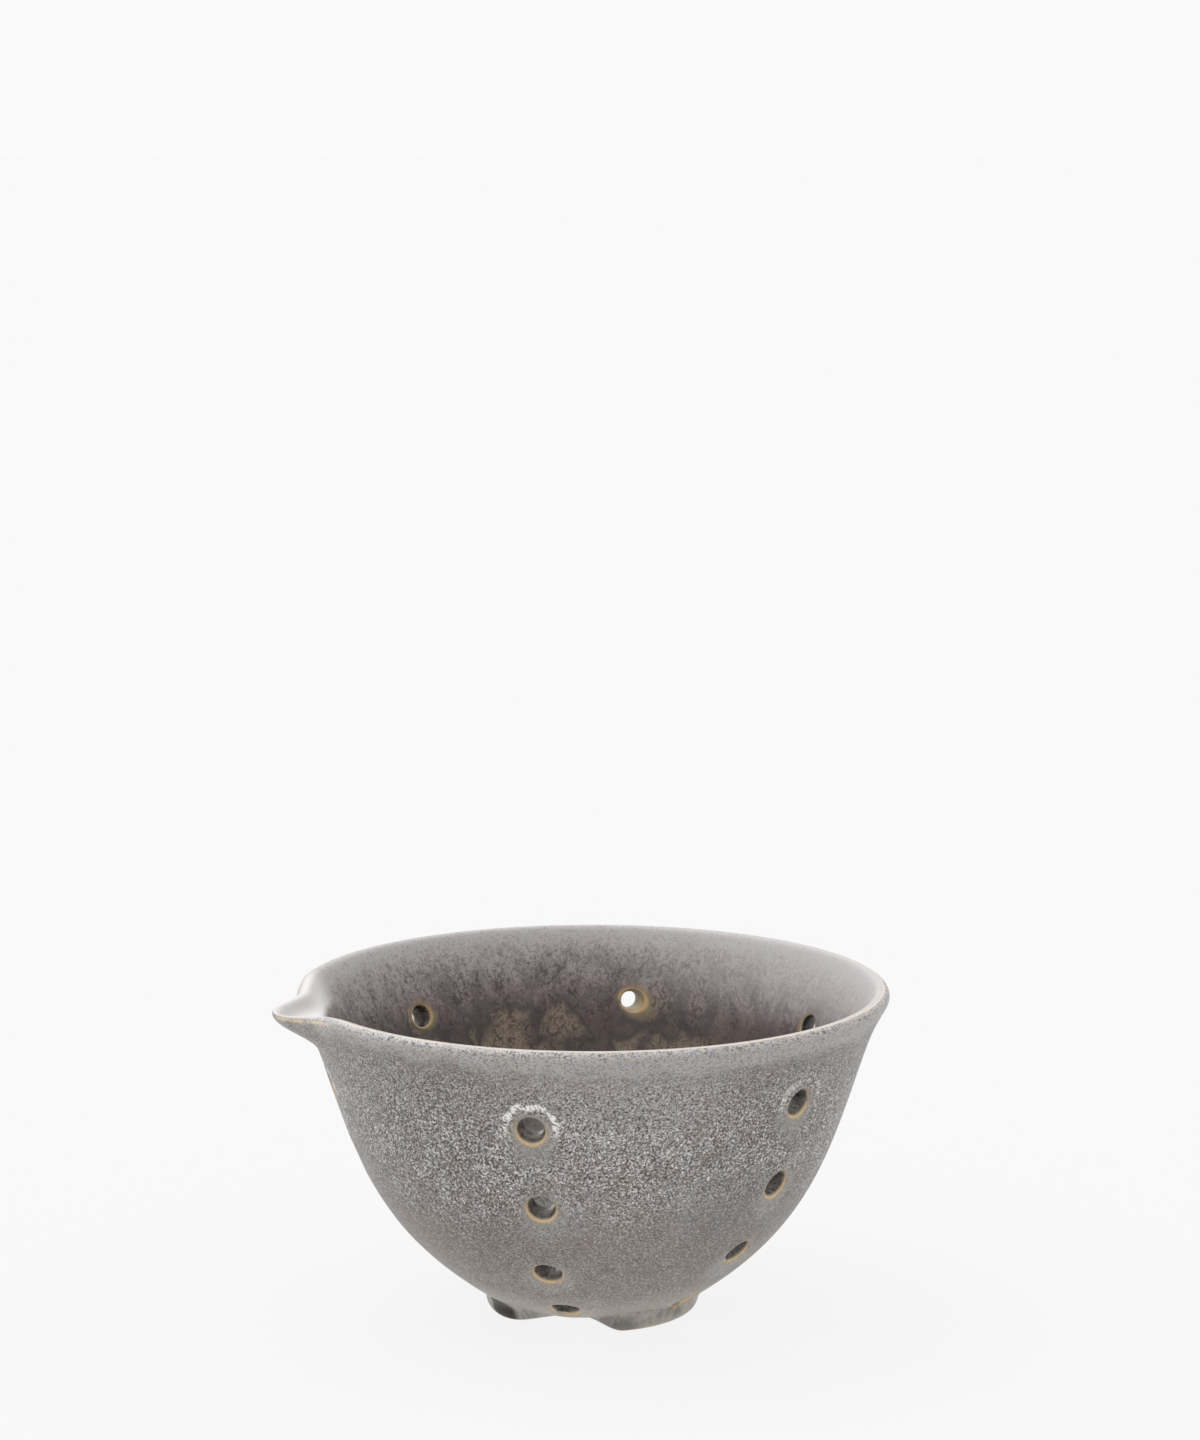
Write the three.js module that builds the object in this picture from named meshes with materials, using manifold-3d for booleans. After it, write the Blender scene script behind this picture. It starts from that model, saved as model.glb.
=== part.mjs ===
// Berry bowl in glazed stoneware: a thrown bowl with a spout pulled from its rim, drain holes pierced
// square through its wall, and three feet under its flat base.
// Millimetres, +Z up, spout towards -X, front towards -Y.
// The origin lies on the table, under the middle of the whole bowl with its spout.

import * as THREE from "three";
import { mergeVertices } from "three/addons/utils/BufferGeometryUtils.js";
import Module from "manifold-3d";

const wasm = await Module();
wasm.setup();

// Bowl: radii count from its axis, heights from the table
const lipRadius = 75; // outermost edge of the lip
const bowlHeight = 83.4; // crest of the lip
const wallThickness = 5; // up to the shoulder, from where the flare thins to the lip
const lipThickness = 4.3;
const floorThickness = 5;
const baseRadius = 26.3; // edge of the flat base
const shoulderRadius = 69; // outside of the wall where it starts to flare
const shoulderDrop = 15.4; // crest of the lip down to the shoulder

// Wall curve: slopes in degrees from level, and the length over which each end holds its slope
const baseSlope = 32.4;
const baseHold = 35.2;
const flankSlope = 71.7;
const flankHold = 28.8;
const flareHold = 7;
const lipSlope = 56.3;
const lipHold = 4.5;

// Spout: spreads are degrees to either side of its middle
const spoutReach = 5.5; // tip past the lip
const spoutDrop = 3.5; // dip of the rim
const spoutThinning = 2.4; // wall thickness lost at the tip
const spoutLength = 14.3; // crest of the lip down to where the outside starts to bend out
const troughLength = 8.5; // the same for the inside
const frontBeakSpread = 19.8; // the flank towards the front is the gentler one
const backBeakSpread = 8.4;
const frontDipSpread = 29.5;
const backDipSpread = 20.2;

// Drain holes: distances along the outside of the wall, angles from the front towards +X
const holeDiameter = 6.8; // outside, from where the bore narrows inwards
const innerDiameter = 5.1;
const mouthRadius = 0.7; // rounding of the outer edge
const rowCount = 4;
const lowestRow = 5.8; // edge of the base to the first row
const highestRow = 19; // last row to the lip
const columnAngles = [-20, 41, 109.5, 162.5, 218, 273.5];

// Feet: what is left of a ring after arches are cut through it, at angles from the front towards +X
const footHeight = 4;
const footWidth = 6.5;
const footEdge = 1.8; // rounding of the lower edges
const archAngles = [-16, 109.5, 218]; // the front arch first
const frontArchLeft = 22; // middle of the front arch to where it meets the table, on either side
const frontArchRight = 12;
const archWidth = 27.2; // the other two, at the table
const archCrown = 7; // level part of each top
const archRise = 1.5; // top of each arch above the foot

// Facets
const turnSteps = 80;
const spoutGather = 0.4; // how far the facets draw in towards the spout, from 0 to 1
const bellySteps = 9;
const flareSteps = 4;
const lipSteps = 6;
const holeSides = 14;
const mouthSteps = 1;
const edgeSteps = 3;
const archSteps = 6;

const floorTop = footHeight + floorThickness;
const radians = THREE.MathUtils.degToRad;

// A closed geometry as a solid that can be cut, without the triangles that shrink to nothing on the axis
function toSolid(geometry) {
  geometry.deleteAttribute("normal");
  geometry.deleteAttribute("uv");
  const merged = mergeVertices(geometry);
  const corners = merged.getIndex().array;
  const triangles = [];
  for (let first = 0; first < corners.length; first += 3) {
    const triangle = corners.slice(first, first + 3);
    if (new Set(triangle).size === 3) {
      triangles.push(...triangle);
    }
  }
  const vertProperties = new Float32Array(merged.getAttribute("position").array);
  const triVerts = new Uint32Array(triangles);
  return new wasm.Manifold(new wasm.Mesh({ numProp: 3, vertProperties, triVerts }));
}

// A profile turned about +Z: its x is the radius and its y the height
function turned(profile, steps) {
  return new THREE.LatheGeometry(profile, steps).rotateX(Math.PI / 2);
}

function toMesh(name, solid, finish) {
  const { vertProperties, triVerts } = solid.getMesh();
  const geometry = new THREE.BufferGeometry();
  geometry.setAttribute("position", new THREE.BufferAttribute(vertProperties, 3));
  geometry.setIndex(new THREE.BufferAttribute(triVerts, 1));
  geometry.computeVertexNormals();
  const mesh = new THREE.Mesh(geometry, new THREE.MeshStandardMaterial(finish));
  mesh.name = name;
  return mesh;
}

// Wall curve
function heading(degrees) {
  return new THREE.Vector2(Math.cos(radians(degrees)), Math.sin(radians(degrees)));
}

function outwardOf(direction) {
  return new THREE.Vector2(direction.y, -direction.x);
}

function slopedCurve(start, startSlope, startHold, end, endSlope, endHold) {
  const startControl = start.clone().addScaledVector(heading(startSlope), startHold);
  const endControl = end.clone().addScaledVector(heading(endSlope), -endHold);
  return new THREE.CubicBezierCurve(start, startControl, endControl, end);
}

const lipCentre = new THREE.Vector2(lipRadius - lipThickness / 2, bowlHeight - lipThickness / 2);
const lipOutward = outwardOf(heading(lipSlope));
const baseEdge = new THREE.Vector2(baseRadius, footHeight);
const shoulder = new THREE.Vector2(shoulderRadius, bowlHeight - shoulderDrop);
const wallEnd = lipCentre.clone().addScaledVector(lipOutward, lipThickness / 2);
const belly = slopedCurve(baseEdge, baseSlope, baseHold, shoulder, flankSlope, flankHold);
const flare = slopedCurve(shoulder, flankSlope, flareHold, wallEnd, lipSlope, lipHold);
const wallCurve = new THREE.CurvePath();
wallCurve.add(belly);
wallCurve.add(flare);

// Section of the bowl from the axis under the base, up the outside, over the lip and down to the floor.
// Each point carries its depth in the wall, from 0 outside to 1 inside.
function sampleWall(curve, steps, startThickness, endThickness) {
  const samples = [];
  for (let step = 0; step <= steps; step += 1) {
    const point = curve.getPoint(step / steps);
    const outward = outwardOf(curve.getTangent(step / steps));
    const thickness = THREE.MathUtils.lerp(startThickness, endThickness, step / steps);
    samples.push({ point, inner: point.clone().addScaledVector(outward, -thickness) });
  }
  return samples;
}

function bowlSection() {
  const lower = sampleWall(belly, bellySteps, wallThickness, wallThickness);
  const upper = sampleWall(flare, flareSteps, wallThickness, lipThickness);
  const samples = [...lower, ...upper.slice(1)];
  const section = [{ point: new THREE.Vector2(0, footHeight), depth: 0 }];
  for (const { point } of samples) {
    section.push({ point, depth: 0 });
  }
  for (let step = 1; step < lipSteps; step += 1) {
    const turn = (Math.PI * step) / lipSteps;
    const point = lipCentre.clone();
    point.addScaledVector(lipOutward, (Math.cos(turn) * lipThickness) / 2);
    point.addScaledVector(heading(lipSlope), (Math.sin(turn) * lipThickness) / 2);
    section.push({ point, depth: (1 - Math.cos(turn)) / 2 });
  }
  const inside = samples
    .map(({ inner }) => inner)
    .filter((point) => point.y > floorTop)
    .reverse();
  for (const point of inside) {
    section.push({ point, depth: 1 });
  }
  const [above, low] = inside.slice(-2);
  const runPerRise = (above.x - low.x) / (above.y - low.y);
  const floorEdge = low.x - (low.y - floorTop) * runPerRise;
  section.push({ point: new THREE.Vector2(floorEdge, floorTop), depth: 1 });
  section.push({ point: new THREE.Vector2(0, floorTop), depth: 1 });
  return section;
}

// Spout: the rim dips and is drawn out to a beak, which thins the wall from inside.
// Angles count from its middle and are positive towards the back.
function swell(share) {
  return 0.5 + 0.5 * Math.cos(Math.PI * Math.min(1, share));
}

function pullSpout(geometry, section) {
  const position = geometry.getAttribute("position");
  const place = new THREE.Vector3();
  for (let index = 0; index < position.count; index += 1) {
    place.fromBufferAttribute(position, index);
    const { depth } = section[index % section.length];
    const even = Math.atan2(place.y, -place.x);
    const turn = even - spoutGather * Math.sin(even);
    const angle = THREE.MathUtils.radToDeg(turn);
    const beakSpread = angle > 0 ? backBeakSpread : frontBeakSpread;
    const dipSpread = angle > 0 ? backDipSpread : frontDipSpread;
    const bend = THREE.MathUtils.lerp(spoutLength, troughLength, depth);
    const pull = THREE.MathUtils.smoothstep(place.z, bowlHeight - bend, lipCentre.y);
    const beak = pull * swell(Math.abs(angle) / beakSpread);
    const thinning = spoutThinning * depth * beak;
    const downwards = spoutDrop * pull * swell(Math.abs(angle) / dipSpread) - thinning * lipOutward.y;
    const radius = Math.hypot(place.x, place.y) + spoutReach * beak + thinning * lipOutward.x;
    position.setXYZ(index, -radius * Math.cos(turn), radius * Math.sin(turn), place.z - downwards);
  }
}

// Drain holes: a narrowing bore with a rounded outer mouth, square to the wall
const holeRadius = holeDiameter / 2;
const innerRadius = innerDiameter / 2;
const boreDepth = wallThickness + floorThickness;

function holeCutter(mouth, outward) {
  const outline = new THREE.Path();
  outline.moveTo(0, -boreDepth);
  outline.lineTo(innerRadius, -boreDepth);
  outline.lineTo(innerRadius, -wallThickness);
  outline.lineTo(holeRadius, -mouthRadius);
  outline.absarc(holeRadius + mouthRadius, -mouthRadius, mouthRadius, Math.PI, Math.PI / 2, true);
  outline.lineTo(holeRadius + mouthRadius, wallThickness);
  outline.lineTo(0, wallThickness);
  const cutter = new THREE.LatheGeometry(outline.getPoints(mouthSteps), holeSides);
  const turn = new THREE.Quaternion().setFromUnitVectors(new THREE.Vector3(0, 1, 0), outward);
  cutter.applyQuaternion(turn).translate(mouth.x, mouth.y, mouth.z);
  return toSolid(cutter);
}

// A point or direction of the wall's section, swung round the axis to a column
function atColumn(flat, degrees) {
  return new THREE.Vector3(flat.x, 0, flat.y).applyAxisAngle(
    new THREE.Vector3(0, 0, 1),
    radians(degrees - 90),
  );
}

function drainHoles() {
  const wallLength = wallCurve.getLength();
  const rowPitch = (wallLength - lowestRow - highestRow) / (rowCount - 1);
  const down = new THREE.Vector3(0, 0, -1);
  let holes = holeCutter(new THREE.Vector3(0, 0, footHeight), down);
  for (let row = 0; row < rowCount; row += 1) {
    const share = (lowestRow + row * rowPitch) / wallLength;
    const mouth = wallCurve.getPoint(share);
    const outward = outwardOf(wallCurve.getTangent(share));
    for (const angle of columnAngles) {
      holes = holes.add(holeCutter(atColumn(mouth, angle), atColumn(outward, angle)));
    }
  }
  return holes;
}

function bowlBody() {
  const section = bowlSection();
  const profile = section.map(({ point }) => point);
  const thrown = turned(profile, turnSteps);
  pullSpout(thrown, section);
  return toSolid(thrown).subtract(drainHoles());
}

// Feet
function footRing() {
  const inner = baseRadius - footWidth;
  const outline = new THREE.Path();
  outline.moveTo(inner, footEdge);
  outline.absarc(inner + footEdge, footEdge, footEdge, Math.PI, 1.5 * Math.PI);
  outline.absarc(baseRadius - footEdge, footEdge, footEdge, 1.5 * Math.PI, 2 * Math.PI);
  outline.lineTo(baseRadius, footHeight);
  outline.lineTo(inner, footHeight);
  outline.lineTo(inner, footEdge);
  return toSolid(turned(outline.getPoints(edgeSteps), turnSteps));
}

// An arch, seen from outside: it rises from the table in a soft S on either side of its level crown
function archCutter(index) {
  const top = footHeight + archRise;
  const left = index > 0 ? -archWidth / 2 : -frontArchLeft;
  const right = index > 0 ? archWidth / 2 : frontArchRight;
  const crown = archCrown / 2;
  const leftMiddle = (left - crown) / 2;
  const rightMiddle = (right + crown) / 2;
  const outline = new THREE.Shape();
  outline.moveTo(left, -archRise);
  outline.lineTo(right, -archRise);
  outline.lineTo(right, 0);
  outline.bezierCurveTo(rightMiddle, 0, rightMiddle, top, crown, top);
  outline.lineTo(-crown, top);
  outline.bezierCurveTo(leftMiddle, top, leftMiddle, 0, left, 0);
  const cutter = new THREE.ExtrudeGeometry(outline, {
    depth: 2 * baseRadius,
    curveSegments: archSteps,
    bevelEnabled: false,
  });
  return toSolid(cutter.rotateX(Math.PI / 2).rotateZ(radians(archAngles[index])));
}

function sectorSolid(startAngle, endAngle) {
  const reach = 2 * baseRadius;
  const start = heading(startAngle - 90).multiplyScalar(reach);
  const outline = new THREE.Shape();
  outline.moveTo(0, 0);
  outline.lineTo(start.x, start.y);
  outline.absarc(0, 0, reach, radians(startAngle - 90), radians(endAngle - 90));
  const sector = new THREE.ExtrudeGeometry(outline, {
    depth: footHeight + 2 * archRise,
    bevelEnabled: false,
  });
  return toSolid(sector.translate(0, 0, -archRise));
}

// The foot from one arch to the next, on the right of the first
function footAfter(index) {
  const next = (index + 1) % archAngles.length;
  const startAngle = archAngles[index];
  const endAngle = next > 0 ? archAngles[next] : archAngles[next] + 360;
  const piece = footRing().intersect(sectorSolid(startAngle, endAngle));
  return piece.subtract(archCutter(index)).subtract(archCutter(next));
}

// Assembly
const bowlGlaze = { color: "#87807d", roughness: 0.45, metalness: 0 };
const footGlaze = { color: "#7a7671", roughness: 0.5, metalness: 0 };
const footNames = ["foot_right", "foot_back", "foot_left"];

const berryBowl = new THREE.Group();
berryBowl.position.x = spoutReach / 2;
berryBowl.add(toMesh("bowl_body", bowlBody(), bowlGlaze));
footNames.forEach((name, index) => {
  berryBowl.add(toMesh(name, footAfter(index), footGlaze));
});

export default berryBowl;
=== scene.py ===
import math
import bmesh
import bpy
import numpy as np
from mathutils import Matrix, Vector


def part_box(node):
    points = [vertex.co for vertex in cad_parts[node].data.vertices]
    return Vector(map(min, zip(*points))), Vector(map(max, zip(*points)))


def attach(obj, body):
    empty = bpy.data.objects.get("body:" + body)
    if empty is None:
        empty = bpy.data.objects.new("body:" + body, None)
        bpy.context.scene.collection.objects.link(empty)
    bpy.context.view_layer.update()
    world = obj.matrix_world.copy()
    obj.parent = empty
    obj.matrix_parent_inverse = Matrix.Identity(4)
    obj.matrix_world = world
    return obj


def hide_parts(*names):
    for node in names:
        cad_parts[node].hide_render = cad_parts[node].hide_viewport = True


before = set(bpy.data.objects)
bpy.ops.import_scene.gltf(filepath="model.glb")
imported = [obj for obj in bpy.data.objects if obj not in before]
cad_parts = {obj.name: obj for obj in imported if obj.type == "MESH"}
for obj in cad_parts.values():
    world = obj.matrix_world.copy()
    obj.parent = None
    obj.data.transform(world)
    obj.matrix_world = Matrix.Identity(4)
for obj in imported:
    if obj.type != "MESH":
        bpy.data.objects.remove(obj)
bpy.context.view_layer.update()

mm = 0.001


def clearSelection():
    if bpy.context.object and bpy.context.object.mode != "OBJECT":
        bpy.ops.object.mode_set(mode="OBJECT")
    bpy.ops.object.select_all(action="DESELECT")


def readPoints(mesh):
    flat = np.empty(len(mesh.vertices) * 3)
    mesh.vertices.foreach_get("co", flat)
    return flat.reshape(-1, 3)


def writePoints(mesh, points):
    mesh.vertices.foreach_set("co", np.asarray(points, float).ravel())
    mesh.update()


def readValues(mesh, name, kind):
    values = np.empty(len(mesh.vertices), kind)
    mesh.attributes[name].data.foreach_get("value", values)
    return values


def addPlaces(mesh, name, kind, values):
    field = "vector" if kind == "FLOAT_VECTOR" else "value"
    mesh.attributes.new(name, kind, "POINT").data.foreach_set(field, np.ravel(values))


# Finish of every piece, on the active object
def soften(piece):
    smoothing = piece.modifiers.new("soften", "SUBSURF")
    smoothing.levels = smoothing.render_levels = 2
    bpy.ops.object.modifier_apply(modifier="soften")
    bpy.ops.object.shade_smooth()


def smoothStep(low, high, value):
    share = np.clip((value - low) / (high - low), 0, 1)
    return share * share * (3 - 2 * share)


# Bowl, mm and degrees; its size comes from the frame
bowl = {
    "around": 72,  # faces round the wall
    "curveSteps": 1200,  # points on each curve of the section
    "baseEdge": 26.3,
    "shoulderIn": 6.0,  # lip in to the shoulder
    "shoulderDrop": 15.4,
    "baseSlope": 32.4, "baseHold": 35.2,
    "flankSlope": 71.7, "flankHold": 28.8,
    "flareHold": 7.0, "lipSlope": 56.3, "lipHold": 4.5,
    "wall": 4.3, "floor": 5.0,  # the wall thickens from the lip to the floor
    "thinFrom": 70.0, "thinTo": 88.0,
    "floorRings": [5.0, 11.0, 18.5, 23.6],
    "blendLift": 0.9, "blendAt": 1.4, "blendSpread": 4.0,  # inside, the floor runs softly into the wall
    "lipFaces": 6,
    "rowPitchFaces": 5,  # faces up the wall from one row of holes to the next
    "lipGapFaces": 0.7,  # least gap from the top ring of the wall to the lip
    "weld": 0.01,
}
bowlLow, bowlHigh = (np.array(corner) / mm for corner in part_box("bowl_body"))
lipRadius = (bowlHigh[1] - bowlLow[1]) / 2
axisX = bowlHigh[0] - lipRadius
rimHeight = bowlHigh[2]
baseHeight = bowlLow[2]

# Holes: rows up the wall, columns by angle from the front towards +X
holes = {
    "radius": 3.4, "mouth": 0.75,
    "innerRadius": 2.55, "innerMouth": 0.5,
    "support": 0.9,  # ring of faces round the mouth
    "liningDepths": [0.0, 0.0, 0.2, 0.5, 0.8, 1.0, 1.0],  # rings of the lining, outer face to inner
    "lowest": 5.8, "highest": 19.0, "rows": 4,
    "columns": [-20.0, 41.0, 109.5, 162.5, 218.0, 273.5],
    "columnFaces": [12, 14, 11, 11, 12, 12],
    "halfFaces": [2, 1, 1, 1],  # per row, faces to each side of the column
    # how far the potter missed the grid: up the wall and round, row by row
    "missUp": [[0.3, -1.4, -0.4, -0.6], [-0.8, 1.0, 0.5, 1.2], [0.4, -0.5, 0.8, 1.4],
               [-0.3, 0.6, -0.7, 0.8], [0.5, 0.2, -0.4, 0.7], [-0.4, -0.8, 0.6, -2.0]],
    "missRound": [[0.3, -0.8, 0.6, -0.1], [2.0, -0.8, 0.4, -0.6], [0.5, 1.0, -0.7, 0.2],
                  [-1.2, 0.4, 0.6, 0.0], [0.8, -0.5, 0.3, 0.2], [-0.6, 0.7, -0.4, 0.5]],
    # how far the outer mouth of the top row lies round and up from the inner one
    "lean": [0.0, 0.0, 0.0, 4.2, 3.1, 0.0],
    "tilt": [0.0, 0.0, 0.0, 1.2, 0.0, 0.0],
    "window": 12.0, "farGap": 40.0,  # reach of a hole along its axis, and the gap of a point out of reach
}
lastStep = len(holes["liningDepths"]) - 1


def slopeVector(degrees):
    return np.array([math.cos(math.radians(degrees)), math.sin(math.radians(degrees))])


def slopedCurve(start, startSlope, startHold, end, endSlope, endHold, share):
    first = start + slopeVector(startSlope) * startHold
    second = end - slopeVector(endSlope) * endHold
    t = share[:, None]
    return (start * (1 - t) ** 3 + first * 3 * t * (1 - t) ** 2
            + second * 3 * t * t * (1 - t) + end * t ** 3)


half = bowl["wall"] / 2
lipCentre = np.array([lipRadius - half, rimHeight - half])
lipAlong = slopeVector(bowl["lipSlope"])
lipOut = np.array([lipAlong[1], -lipAlong[0]])
wallStart = np.array([bowl["baseEdge"], baseHeight])
shoulder = np.array([lipRadius - bowl["shoulderIn"], rimHeight - bowl["shoulderDrop"]])
share = np.linspace(0, 1, bowl["curveSteps"])
belly = slopedCurve(wallStart, bowl["baseSlope"], bowl["baseHold"],
                    shoulder, bowl["flankSlope"], bowl["flankHold"], share)
flare = slopedCurve(shoulder, bowl["flankSlope"], bowl["flareHold"],
                    lipCentre + lipOut * half, bowl["lipSlope"], bowl["lipHold"], share)
wallLine = np.vstack([belly, flare[1:]])
wallArc = np.concatenate([[0], np.cumsum(np.hypot(*np.diff(wallLine, axis=0).T))])
wallLength = wallArc[-1]
wallTurn = np.unwrap(np.arctan2(*np.gradient(wallLine, axis=0).T[::-1]))


# Outside of the bowl at a distance along the wall; below zero runs in under the base
def wallAt(arc):
    arc = np.asarray(arc, float)
    radius = np.interp(arc, wallArc, wallLine[:, 0]) + np.minimum(arc, 0)
    height = np.interp(arc, wallArc, wallLine[:, 1])
    turn = np.where(arc < 0, 0.0, np.interp(arc, wallArc, wallTurn))
    return radius, height, turn


# Point in the wall: depth 0 is the outer face, 1 the inner one
def skinPoint(arc, angle, depth):
    radius, height, turn = wallAt(arc)
    thin = smoothStep(bowl["thinFrom"], bowl["thinTo"], np.asarray(arc))
    thick = bowl["floor"] + (bowl["wall"] - bowl["floor"]) * thin
    radius = radius - np.sin(turn) * thick * depth
    height = height + np.cos(turn) * thick * depth
    blend = bowl["blendLift"] * np.exp(-((arc - bowl["blendAt"]) / bowl["blendSpread"]) ** 2)
    height = np.where(depth == 1, np.maximum(height, baseHeight + bowl["floor"]) + blend, height)
    return np.stack([axisX + radius * np.sin(angle), -radius * np.cos(angle), height], -1)


# Rings of the section from the drain, out under the base, up the wall, over the lip and back down
pitch = (wallLength - holes["lowest"] - holes["highest"]) / (holes["rows"] - 1)
faceRise = pitch / bowl["rowPitchFaces"]
topRing = wallLength - bowl["lipGapFaces"] * faceRise
wallRings = np.arange(holes["lowest"] - faceRise, topRing, faceRise)
floorArcs = np.array(bowl["floorRings"]) - bowl["baseEdge"]
outerArcs = np.concatenate([floorArcs, [0.0], wallRings, [wallLength]])
lipHalf = half * math.pi / 2  # from the crest of the lip to the top of the wall
lipTurns = [math.pi * step / bowl["lipFaces"] for step in range(1, bowl["lipFaces"])]
rings = []  # radius, height, depth in the wall, distance from the crest
for arc in outerArcs:
    point = skinPoint(arc, 0.0, 0.0)
    rings.append((-point[1], point[2], 0.0, wallLength - arc + lipHalf))
for turn in lipTurns:
    point = lipCentre + (lipOut * math.cos(turn) + lipAlong * math.sin(turn)) * half
    rings.append((point[0], point[1], (1 - math.cos(turn)) / 2, abs(math.pi / 2 - turn) * half))
for arc in outerArcs[::-1]:
    point = skinPoint(arc, 0.0, 1.0)
    rings.append((-point[1], point[2], 1.0, wallLength - arc + lipHalf))
ringRadius, ringHeight, ringDepth, ringFromLip = np.array(rings).T
ringCount = len(rings)
around = bowl["around"]

# Throw the bowl: a ring of points, extruded and resized from the drain to the lip and back
clearSelection()
bpy.ops.mesh.primitive_circle_add(
    vertices=around, radius=ringRadius[0] * mm, location=(axisX * mm, 0, ringHeight[0] * mm))
glazedBowl = bpy.context.object
glazedBowl.name = glazedBowl.data.name = "glazedBowl"
bpy.ops.object.transform_apply(location=True, rotation=True, scale=True)
bpy.ops.object.mode_set(mode="EDIT")
bpy.ops.mesh.select_all(action="SELECT")
for ring in range(1, ringCount):
    rise = (ringHeight[ring] - ringHeight[ring - 1]) * mm
    grow = ringRadius[ring] / ringRadius[ring - 1]
    centre = (axisX * mm, 0, ringHeight[ring] * mm)
    bpy.ops.mesh.extrude_edges_move(TRANSFORM_OT_translate={"value": (0, 0, rise)})
    bpy.ops.transform.resize(value=(grow, grow, 1), center_override=centre)
bpy.ops.object.mode_set(mode="OBJECT")
print("bowl thrown:", len(glazedBowl.data.vertices), "points,", ringCount, "rings")

# Turn the points so that a line of them runs through each column of holes
mesh = glazedBowl.data
points = readPoints(mesh) / mm
ringOf = np.arange(len(points)) // around
angles = np.arctan2(points[:, 0] - axisX, -points[:, 1])
firstAngle = angles[:around]
order = np.argsort(firstAngle % (2 * math.pi))
rank = np.empty(around, int)
rank[order] = np.arange(around)
knots = np.concatenate([[0], np.cumsum(holes["columnFaces"])])
knotAngles = np.array(holes["columns"] + [holes["columns"][0] + 360])
columnAngle = np.radians(np.interp(np.arange(around), knots, knotAngles))
columnOf = rank[np.arange(len(points)) % around]
newAngle = columnAngle[columnOf]
radius = ringRadius[ringOf]
points[:, 0] = axisX + radius * np.sin(newAngle)
points[:, 1] = -radius * np.cos(newAngle)
points[:, 2] = ringHeight[ringOf]

# Cut a patch of faces out of both skins at each hole, and round the edge of what is left
deadFaces = set()
edgeSpots = {}  # (ring, column) -> (hole, turn round the hole, step of its lining)
holeList = []
centreRing = len(bowl["floorRings"]) + 2
for row in range(holes["rows"]):
    span = holes["halfFaces"][row]
    ringMid = centreRing + row * bowl["rowPitchFaces"]
    for column, knot in enumerate(knots[:-1]):
        arc = holes["lowest"] + row * pitch + holes["missUp"][column][row]
        angle = math.radians(holes["columns"][column] + holes["missRound"][column][row])
        rim = [(ringMid - 1, offset) for offset in range(-span, span)]
        rim += [(ringMid - 1 + step, span) for step in range(2)]
        rim += [(ringMid + 1, -offset) for offset in range(-span, span)]
        rim += [(ringMid + 1 - step, -span) for step in range(2)]
        step = 2 * math.pi / len(rim)
        start = math.atan2(-1, -1) if span == 1 else -math.pi / 2 - span * step
        for place, (ring, offset) in enumerate(rim):
            spot = (ring, (knot + offset) % around)
            turn = start + place * step
            edgeSpots[spot] = (len(holeList), turn, 0)
            edgeSpots[(ringCount - 1 - ring, spot[1])] = (len(holeList), turn, lastStep)
        for ring in (ringMid - 1, ringMid):
            for offset in range(-span, span):
                deadFaces.add((ring, (knot + offset) % around))
                deadFaces.add((ringCount - 2 - ring, (knot + offset) % around))
        rowShare = (row + 1) / holes["rows"]
        holeList.append({
            "arc": arc, "angle": angle, "sides": len(rim),
            "lean": holes["lean"][column] * rowShare / -skinPoint(arc, 0.0, 0.0)[1],
            "tilt": holes["tilt"][column] * rowShare,
        })


def boreEnds(hole):
    outer = skinPoint(hole["arc"] + hole["tilt"], hole["angle"] + hole["lean"], 0.0)
    return outer, skinPoint(hole["arc"], hole["angle"], 1.0)


# Point of a hole's lining: step 0 is the ring round the outer mouth, the last step that round the inner one
def liningPoint(hole, turn, step):
    widen = 6 / (4 + 2 * math.cos(2 * math.pi / hole["sides"]))  # subdivision draws a ring in
    depth = holes["liningDepths"][step]
    reach = holes["radius"] + (holes["innerRadius"] - holes["radius"]) * depth
    if depth == 0:
        reach += holes["mouth"]
    elif depth == 1:
        reach += holes["innerMouth"]
    reach *= widen
    if step in (0, lastStep):
        reach += holes["support"]
    across, up = reach * math.cos(turn), reach * math.sin(turn)
    if depth in (0, 1):
        level = skinPoint(hole["arc"], 0.0, depth)
        angle = hole["angle"] + hole["lean"] * (1 - depth)
        arc = hole["arc"] + hole["tilt"] * (1 - depth)
        return skinPoint(arc + up, angle + across / -level[1], depth)
    outer, inner = boreEnds(hole)
    side = np.array([math.cos(hole["angle"]), math.sin(hole["angle"]), 0])
    rise = np.cross(side, (outer - inner) / np.linalg.norm(outer - inner))
    rise = -rise if rise[2] < 0 else rise
    return outer + (inner - outer) * depth + side * across + rise * up


gridSpot = {}
for index in range(len(points)):
    spot = (int(ringOf[index]), int(columnOf[index]))
    gridSpot[index] = spot
    if spot in edgeSpots:
        number, turn, step = edgeSpots[spot]
        points[index] = liningPoint(holeList[number], turn, step)
writePoints(mesh, points * mm)
addPlaces(mesh, "gridIndex", "INT", np.arange(len(points)))
addPlaces(mesh, "depth", "FLOAT", ringDepth[ringOf])
addPlaces(mesh, "fromLip", "FLOAT", ringFromLip[ringOf])

bpy.ops.object.mode_set(mode="EDIT")
bpy.ops.mesh.select_mode(type="FACE")
grid = bmesh.from_edit_mesh(mesh)
for face in grid.faces:
    spots = [gridSpot[vert.index] for vert in face.verts]
    low = min(spot[0] for spot in spots)
    columns = sorted({spot[1] for spot in spots})
    left = columns[-1] if columns[-1] - columns[0] > 1 else columns[0]
    face.select_set((low, left) in deadFaces)
bmesh.update_edit_mesh(mesh)
bpy.ops.mesh.delete(type="FACE")
bpy.ops.mesh.select_mode(type="VERT")
bpy.ops.object.mode_set(mode="OBJECT")

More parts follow.
